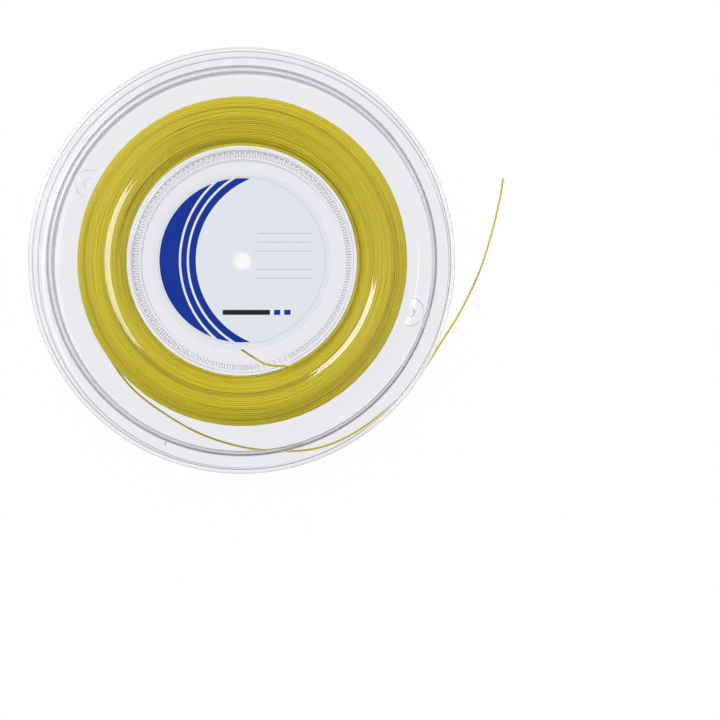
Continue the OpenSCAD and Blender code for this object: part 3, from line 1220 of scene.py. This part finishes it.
@dataclass
class FrontHalf(MouldedHalf):
    """The half that carries the label, with the spigot and its inward teeth."""

    side: Side = Side.FRONT
    name: str = "front_shell"
    node: str = "front_half"
    spot_deg: float = -17
    land_h: float = 10.9 * MM
    gap_from: float = 279
    gap_to: float = 297
    gap_margin: float = 0.3 * MM
    tick_deg: float = 247.5
    tick_w: float = 1.3 * MM
    tick_taper: float = 0.12
    tick_len: float = 2.6 * MM
    tick_h: float = 0.7 * MM
    tick_sink: float = 0.7 * MM

    def make_hub(self, bm: bmesh.types.BMesh) -> None:
        """Raises the inward teeth on the spigot."""
        s = self.sizes
        self.raise_teeth(bm, s.tooth_root_r, s.tooth_tip_r, s.tooth_pitch / 2)

    def open_gap(self, piece: bpy.types.Object) -> None:
        """Takes the spigot away where the string passes, between two whole teeth.

        Args:
            piece: The half.
        """
        s = self.sizes
        radii = (s.tooth_tip_r - self.gap_margin, s.spigot_r + s.snap_r)
        heights = (self.level(-s.tooth_half_len - self.gap_margin), self.level(s.ledge_in))
        carve(piece, sector_tool(radii, heights, (self.gap_from, self.gap_to)), "DIFFERENCE")

    def add_marks(self, piece: bpy.types.Object) -> None:
        """Opens the gap in the spigot and adds the small tick on the flat band.

        Args:
            piece: The half.
        """
        self.open_gap(piece)
        s = self.sizes
        start = s.step_r + s.step_w - self.tick_sink
        place = Matrix.Rotation(math.radians(self.tick_deg), 4, "Z")
        low = (start, -self.tick_w / 2, self.level(s.band_h))
        high = (start + self.tick_len, self.tick_w / 2,
                self.level(s.band_h + s.wall / 2 + self.tick_h))
        carve(piece, box_tool(low, high, place, self.tick_taper), "UNION")


# ---------- Label ----------


@dataclass
class Label:
    """Round paper label stuck on the front half's web."""

    name: str = "paper_label"
    outer_r: float = 56.5 * MM
    hole_r: float = 6.8 * MM
    thickness: float = 0.2 * MM
    glue_depth: float = 0.02 * MM
    segments: int = 192
    edge_round: float = 0.05 * MM
    round_steps: int = 2
    smooth_deg: float = 20
    lip_deg: float = 57

    def build(self) -> bpy.types.Object:
        """Makes the label, in place.

        Returns:
            The finished piece.
        """
        low = REEL.half_depth + REEL.ledge_out - self.glue_depth
        bm = bmesh.new()
        for radius in (self.outer_r, self.hole_r):
            bmesh.ops.create_circle(bm, radius=radius, segments=self.segments,
                                    matrix=Matrix.Translation((0, 0, low)))
        bmesh.ops.bridge_loops(bm, edges=bm.edges[:])
        top = set(raise_faces(bm, self.thickness + self.glue_depth))
        lip = [edge for edge in bm.edges if top.issuperset(edge.verts) and edge.is_manifold
               and edge.calc_face_angle(0) > math.radians(self.lip_deg)]
        round_off(bm, lip, self.edge_round, self.round_steps)
        piece = make_piece(bm, self.name, self.smooth_deg)
        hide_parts("label")
        return piece


# ---------- String ----------


def length_of(path: Sequence[Vector]) -> float:
    """Length along a path."""
    return sum((b - a).length for a, b in zip(path, path[1:]))


def smooth_step(value: float) -> float:
    """Eases a value from 0 to 1."""
    value = min(max(value, 0.0), 1.0)
    return value * value * (3 - 2 * value)


def string_curve(name: str, path: Sequence[Vector], sides: int,
                 diameter: float = STRING.diameter) -> bpy.types.Object:
    """Makes a round string along a path.

    Args:
        name: The piece's name.
        path: The string's middle line.
        sides: How many sides its section has, an even number.
        diameter: How thick it is.

    Returns:
        A curve object of one open spline, with its ends closed.
    """
    data = bpy.data.curves.new(name, "CURVE")
    data.dimensions = "3D"
    data.bevel_depth = diameter / 2
    data.bevel_resolution = sides // 2 - 2
    data.use_fill_caps = True
    spline = data.splines.new("POLY")
    spline.points.add(len(path) - 1)
    spline.points.foreach_set("co", [n for p in path for n in (*p, 1.0)])
    spline.use_smooth = True
    return add_object(name, data)


def as_mesh(piece: bpy.types.Object, smooth_deg: float = 60) -> bpy.types.Object:
    """Replaces a curve by a closed mesh of the same name and shape.

    Args:
        piece: The curve's object, which is removed.
        smooth_deg: Edges that bend more than this stay sharp.

    Returns:
        The mesh's object.
    """
    mesh = evaluated_mesh(piece)
    bm = bmesh.new()
    bm.from_mesh(mesh)
    close_up(bm)
    bm.to_mesh(mesh)
    bm.free()
    mesh.set_sharp_from_angle(angle=math.radians(smooth_deg))
    name = piece.name
    bpy.data.objects.remove(piece)
    mesh.name = name
    return add_object(name, mesh)


def between(a: Vector, b: Vector, c: Vector, d: Vector, t: float) -> Vector:
    """Point of a smooth curve through b and c, at share t of the way."""
    return 0.5 * (2 * b + (c - a) * t + (2 * a - 5 * b + 4 * c - d) * t * t
                  + (3 * b - a - 3 * c + d) * t * t * t)


def smooth_route(points: Sequence[Vector], steps: int) -> list[Vector]:
    """Draws a smooth curve through given points.

    Args:
        points: The points.
        steps: Steps between two of them.

    Returns:
        The curve's points.
    """
    last = len(points) - 1
    route = [between(points[max(i - 1, 0)], points[i], points[i + 1], points[min(i + 2, last)],
                     s / steps) for i in range(last) for s in range(steps)]
    return route + [points[last]]


def slot_point(along: float) -> Vector:
    """Point on the string's line through the slot, measured from the slot's outer mouth."""
    mouth = polar(STRING.slot_r, STRING.slot_deg, REEL.half_depth + STRING.flank_h)
    return mouth + Vector((along, 0, 0))


def lead_start() -> Vector:
    """Where the free end leaves the winding, one diameter along the tangent."""
    leave = polar(STRING.outer_r, STRING.exit_deg, REEL.half_depth - STRING.flank_h)
    return leave + STRING.diameter * tangent(STRING.exit_deg)


# Middle lines of the string's two free ends, from the winding outwards, in millimetres

LEAD = [
    (-90.5, -52.3, 6.3), (-87, -58.7, 6.3), (-83.2, -65, 6.3), (-79.1, -71.2, 6.3),
    (-74.9, -76.5, 6.3), (-70.4, -81.5, 6.3), (-64.8, -86.5, 6.3), (-58.8, -91.2, 6.3),
    (-52.5, -95.6, 6.3), (-44.4, -100.9, 6.2), (-35.9, -105.9, 6.2), (-26.9, -110.2, 6.1),
    (-17.3, -113.8, 6), (-7.4, -116.8, 5.9), (3, -119.1, 5.9), (13.7, -120.5, 5.8),
    (22.5, -121, 5.3), (31.4, -121.1, 4.7), (40.5, -120.4, 4.3), (49.5, -118.7, 4),
    (58.2, -115.8, 3.9), (66.6, -112, 3.9), (76.6, -106.1, 3.9), (85.9, -99.3, 3.9),
    (94.8, -91.8, 3.9), (103.2, -83.6, 3.9), (111.1, -74.7, 3.9), (118.3, -65.2, 3.9),
    (126, -52.9, 3.8), (132.7, -42.4, 3.2), (137, -35.8, 2.6), (143, -24.6, 1.8),
    (148.3, -13.6, 1.2), (153.2, -1.9, 0.8), (157.2, 10.6, 0.7), (160.8, 23.3, 0.7),
    (163.8, 36, 0.7), (165.7, 45, 0.7), (167, 54.3, 0.7),
]

TAIL = [
    (19.6, -66.6, 23.3), (14.6, -65.4, 23.2), (9.9, -62.9, 22.6), (4, -59.2, 21),
    (-2.8, -54.8, 18.3), (-9, -50.7, 15.2), (-15, -46.6, 12.1), (-21, -42.6, 9.3),
    (-27, -38.6, 7.2), (-33, -34.4, 6), (-38.6, -30, 5.6), (-43.6, -25.4, 5.5),
]


@dataclass
class LooseEnd:
    """One free end of the string, cut off plainly.

    It goes from its start in metres along a route in millimetres. Its length holds the real one,
    which the build does not use.
    """

    name: str
    node: str
    start: list[Vector]
    route: list[Point]
    length: float
    steps: int = 6
    sides: int = 12

    def build(self) -> bpy.types.Object:
        """Returns:
            The finished piece.
        """
        points = [Vector(p) * MM for p in self.route]
        path = self.start + smooth_route(points, self.steps)
        piece = string_curve(self.name, path, self.sides)
        log.info("%s is %.4f m long", self.name, length_of(path))
        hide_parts(self.node)
        return piece


@dataclass
class Winding:
    """The string's whole length on the drum, wound to and fro between the flanges.

    It is drawn at pressed_d, a little thicker than it is, so that neighbours meet. Slack lets
    turns sag from the flanges and settle into the layer below, by noise along the string.
    """

    sizes: StringSizes = STRING
    inner_layers: int = 12
    dwell_turns: Span = (1.7, 2.5)
    climb_turns: float = 0.3
    points_per_turn: int = 64
    sides: int = 8
    flank_slack: float = 1.1 * MM
    flank_crown: float = 4.4 * MM
    sag_power: float = 1.5
    layer_slack: float = 0.26 * MM
    most_lift: float = 0.25
    settle_turns: float = 0.07
    pressed_d: float = 1.8 * MM
    drum_gap: float = 0.15 * MM
    dwell_spot: Point = (7.3, 0.4, 0.6)
    wander_r: float = 1.3
    wander_pitch: float = 0.83
    fine_rate: float = 2.7
    fine_share: float = 0.4
    sag_seed: float = 11.0
    lift_seed: float = 47.0

    def flank_share(self, turns: float) -> float:
        """Works out how far across the winding the string is.

        Args:
            turns: Turns wound since the slot.

        Returns:
            The place, from 1 at the front flank to -1 at the rear one.
        """
        per_layer = self.sizes.turns / self.sizes.layers
        layer, within = divmod(turns, per_layer)
        low, high = self.dwell_turns
        across, *rest = self.dwell_spot
        dwell = low + (high - low) * (0.5 + 0.5 * noise.noise((layer * across, *rest)))
        moved = (within - dwell / 2) / (per_layer - dwell)
        share = 1 - 2 * min(max(moved, 0.0), 1.0)
        return share if layer % 2 == 0 else -share

    def radius(self, turns: float) -> float:
        """Works out the radius, which climbs quickly from layer to layer.

        Args:
            turns: Turns wound since the slot.

        Returns:
            Radius of the string's middle.
        """
        s = self.sizes
        per_layer = s.turns / s.layers
        layer, within = divmod(turns + self.climb_turns / 2, per_layer)
        climbed = layer - 1 + smooth_step(within / self.climb_turns)
        climbed = min(max(climbed, 0.0), s.layers - 1.0)
        settled = s.inner_r + (s.outer_r - s.inner_r) * climbed / (s.layers - 1)
        lift = (s.slot_r - s.inner_r) * (1 - smooth_step(turns / self.settle_turns))
        return settled + lift

    def wander(self, turns: float, degrees: float, seed: float) -> float:
        """Smooth noise, about -1 to 1, that runs along the string and shifts turn by turn."""
        spot = polar(self.wander_r, degrees, turns * self.wander_pitch + seed)
        return noise.noise(spot) + self.fine_share * noise.noise(spot * self.fine_rate)

    def point(self, turns: float) -> Vector:
        """Point of the string's middle line.

        Args:
            turns: Turns wound since the slot.

        Returns:
            The point, in place.
        """
        s = self.sizes
        degrees = s.slot_deg + 360 * turns
        share = self.flank_share(turns)
        ease = smooth_step(turns) * smooth_step((s.turns - turns) * 2)
        sag = max(0.0, self.wander(turns, degrees, self.sag_seed)) ** self.sag_power
        drop = self.flank_slack * sag
        radius = self.radius(turns)
        from_middle = 2 * (radius - s.inner_r) / (s.outer_r - s.inner_r) - 1
        drop += self.flank_crown * from_middle * from_middle
        swell = (self.pressed_d - s.diameter) / 2
        height = share * (s.flank_h - swell - ease * drop)
        lift = min(self.wander(turns, degrees, self.lift_seed), self.most_lift)
        radius += ease * self.layer_slack * lift
        radius = min(max(radius, REEL.drum_r + self.pressed_d / 2 + self.drum_gap),
                     s.outer_r - swell)
        return polar(radius, degrees, REEL.half_depth + height)

    def path(self, first: float, last: float) -> list[Vector]:
        """Points of the string from one count of turns to another."""
        count = round((last - first) * self.points_per_turn)
        return [self.point(first + (last - first) * i / count) for i in range(count + 1)]

    def build(self) -> list[bpy.types.Object]:
        """Makes the winding as two unbroken stretches of one string.

        Returns:
            The inner layers and the outer layers.
        """
        s = self.sizes
        middle = s.turns * self.inner_layers / s.layers
        inner = [slot_point(0)] + self.path(0, middle)[1:]
        outer = self.path(middle, s.turns) + [lead_start()]
        log.info("wound length is %.1f m", length_of(inner) + length_of(outer))
        pieces = [as_mesh(string_curve(name, route, self.sides, self.pressed_d))
                  for name, route in (("wound_inner_layers", inner),
                                      ("wound_outer_layers", outer))]
        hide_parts("string_core")
        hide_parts("string_winding")
        return pieces


# ---------- Studio ----------


@dataclass
class SoftBox:
    """A rectangular soft light, far enough away to light the whole reel alike.

    Angles are in degrees: where its middle stands, and how wide it looks from the reel along
    a circle round the axis and across it.
    """

    name: str
    azimuth: float
    off_axis: float
    along: float
    across: float
    radiance: float
    distance: float = 8.0

    def build(self) -> bpy.types.Object:
        """Makes the lamp.

        Returns:
            The lamp.
        """
        data = bpy.data.lights.new(self.name, "AREA")
        data.shape = "RECTANGLE"
        data.size, data.size_y = (2 * self.distance * math.tan(math.radians(angle / 2))
                                  for angle in (self.along, self.across))
        data.energy = self.radiance * math.pi * data.size * data.size_y
        lamp = add_object(self.name, data)
        tilt = math.radians(self.off_axis)
        back = polar(math.sin(tilt), self.azimuth, math.cos(tilt))
        across = tangent(self.azimuth)
        axes = Matrix((across, back.cross(across), back)).transposed()
        lamp.matrix_world = Matrix.Translation(back * self.distance) @ axes.to_4x4()
        return lamp


@dataclass
class Studio:
    """White ground, a sky that is dark overhead and at the horizon, and two soft boxes.

    Heights are of a direction's unit vector. The sky is brightest towards bright_azimuth and
    grows to both flanks. Glossy rays see most of that lean taken away, as behind a flag.
    """

    ground_size: float = 6.0
    ground_z: float = -0.0002
    ground_colour: Colour = (0.9, 0.9, 0.9)
    shown_share: float = 0.95
    horizon: float = 0.18
    sky: float = 0.44
    sky_heights: Span = (0.05, 0.45)
    zenith: float = 0.02
    zenith_deg: float = 28.0
    zenith_blur: float = 0.06
    bright_azimuth: float = 100.0
    lean: float = 0.9
    lean_power: float = 3.0
    flanks: float = 3
    flagged: float = 0.85
    white_heights: Span = (0.4, 0.85)

    def build_ground(self) -> bpy.types.Object:
        """Makes the ground: white where it is looked at, with the reel's shadow on it.

        Returns:
            The ground.
        """
        bm = bmesh.new()
        bmesh.ops.create_grid(bm, x_segments=1, y_segments=1, size=self.ground_size / 2,
                              matrix=Matrix.Translation((0, 0, self.ground_z)))
        ground = make_piece(bm, "ground")
        material, sheet = new_material("white ground")
        path = sheet.add("LightPath").outputs
        seen = sheet.most(path["Is Camera Ray"], path["Is Glossy Ray"],
                          path["Is Transmission Ray"])
        matt = sheet.add("BsdfDiffuse", {"Color": rgba(self.ground_colour)})
        glow = sheet.add("Emission", {"Strength": 1.0})
        sheet.cover(sheet.mix_shaders(sheet.math("MULTIPLY", seen, self.shown_share),
                                      matt.outputs[0], glow.outputs[0]))
        ground.data.materials.append(material)
        return ground

    def overhead(self, sheet: NodeSheet, height: bpy.types.NodeSocket) -> bpy.types.NodeSocket:
        """Sets the sky's level by height: horizon, sky and the dark zenith.

        Args:
            sheet: The world's sheet.
            height: Height of the direction.

        Returns:
            The level.
        """
        low = sheet.spread(height, self.sky_heights, (self.horizon, self.sky))
        edge = math.cos(math.radians(self.zenith_deg))
        cap = sheet.spread(height, (edge - self.zenith_blur, edge),
                           (1.0, self.zenith / self.sky))
        return sheet.math("MULTIPLY", low, cap)

    def leaning(self, sheet: NodeSheet, direction: bpy.types.NodeSocket,
                across: bpy.types.NodeSocket,
                glossy: bpy.types.NodeSocket) -> bpy.types.NodeSocket:
        """Sets the sky's gain by side: most from one, some from both flanks.

        Args:
            sheet: The world's sheet.
            direction: The direction that is looked in.
            across: The direction's X part.
            glossy: Whether the ray is a reflection.

        Returns:
            The gain.
        """
        side = sheet.add("VectorMath", {0: direction, 1: polar(1, self.bright_azimuth)},
                         operation="DOT_PRODUCT").outputs["Value"]
        lean = sheet.math("POWER", sheet.math("MULTIPLY_ADD", side, self.lean, 1.0),
                          self.lean_power)
        lean = sheet.math("MULTIPLY", lean,
                          sheet.math("MULTIPLY_ADD", glossy, -self.flagged, 1.0))
        return sheet.math("MULTIPLY_ADD", sheet.math("MULTIPLY", across, across), self.flanks,
                          lean)

    def build_world(self) -> None:
        """Lights the reel from all round, and looks white to the eye and through clear walls."""
        world = bpy.data.worlds.new("studio")
        bpy.context.scene.world = world
        world.use_nodes = True
        sheet = NodeSheet(world.node_tree)
        direction = sheet.add("TexCoord").outputs["Generated"]
        across, _, height = sheet.add("SeparateXYZ", {0: direction}).outputs
        path = sheet.add("LightPath").outputs
        level = sheet.math("MULTIPLY", self.overhead(sheet, height),
                           self.leaning(sheet, direction, across, path["Is Glossy Ray"]))
        through = sheet.math("MULTIPLY", path["Is Transmission Ray"],
                             sheet.spread(height, self.white_heights, (1.0, 0.0)))
        strength = sheet.most(level, path["Is Camera Ray"], through)
        back = sheet.add("Background", {"Strength": strength})
        sheet.add("OutputWorld", {"Surface": back.outputs[0]})

    def build(self) -> None:
        """Makes the ground, the surroundings and the lamps."""
        self.build_ground()
        self.build_world()
        SoftBox("left_soft_box", azimuth=175, off_axis=25.5, along=27, across=13,
                radiance=5.5).build()
        SoftBox("right_soft_box", azimuth=-30, off_axis=19.5, along=18, across=12.5,
                radiance=7.5).build()


@dataclass
class ReelCamera:
    """Camera that looks straight down on the reel, with the reel at the upper left."""

    lens: float = 117.7
    sensor_width: float = 36
    distance: float = 1.5
    reach: float = 20
    aim: Span = (0.0749, -0.0629)
    tilt_deg: float = 1.1

    def build(self) -> bpy.types.Object:
        """Makes the camera and makes it the scene's.

        Returns:
            The camera.
        """
        data = bpy.data.cameras.new("reel_camera")
        data.lens = self.lens
        data.sensor_width = self.sensor_width
        data.clip_end = self.reach
        camera = add_object("reel_camera", data)
        tilt = math.radians(self.tilt_deg)
        camera.location = (self.aim[0], self.aim[1] - self.distance * math.sin(tilt),
                           REEL.half_depth + self.distance * math.cos(tilt))
        camera.rotation_euler = (tilt, 0, 0)
        bpy.context.scene.camera = camera
        return camera


# ---------- The whole reel ----------


def dress(pieces: Iterable[bpy.types.Object], material: bpy.types.Material) -> None:
    """Gives pieces their finish and lets them ride on the reel.

    Args:
        pieces: The finished pieces.
        material: What they are made of.
    """
    for piece in pieces:
        piece.data.materials.clear()
        piece.data.materials.append(material)
        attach(piece, "root")
        log.info("made %s", piece.name)


def main() -> None:
    """Builds the camera, the string, the reel and the studio."""
    logging.basicConfig(level=logging.INFO, format="%(name)s: %(message)s")
    bpy.context.scene.view_settings.view_transform = "Standard"
    ReelCamera().build()
    ends = [
        LooseEnd("string_free_end", "string_lead", start=[lead_start()], route=LEAD,
                 length=0.391).build(),
        LooseEnd("string_inner_end", "string_tail",
                 start=[slot_point(0), slot_point(-STRING.diameter)], route=TAIL,
                 length=0.09).build(),
    ]
    finishes = Finishes()
    dress(ends + Winding().build(), YellowString().build(finishes))
    dress([RearHalf().build(), FrontHalf().build()], ClearPlastic().build(finishes))
    dress([Label().build()], PrintedLabel().build(finishes))
    Studio().build()


if __name__ == "__main__":
    main()
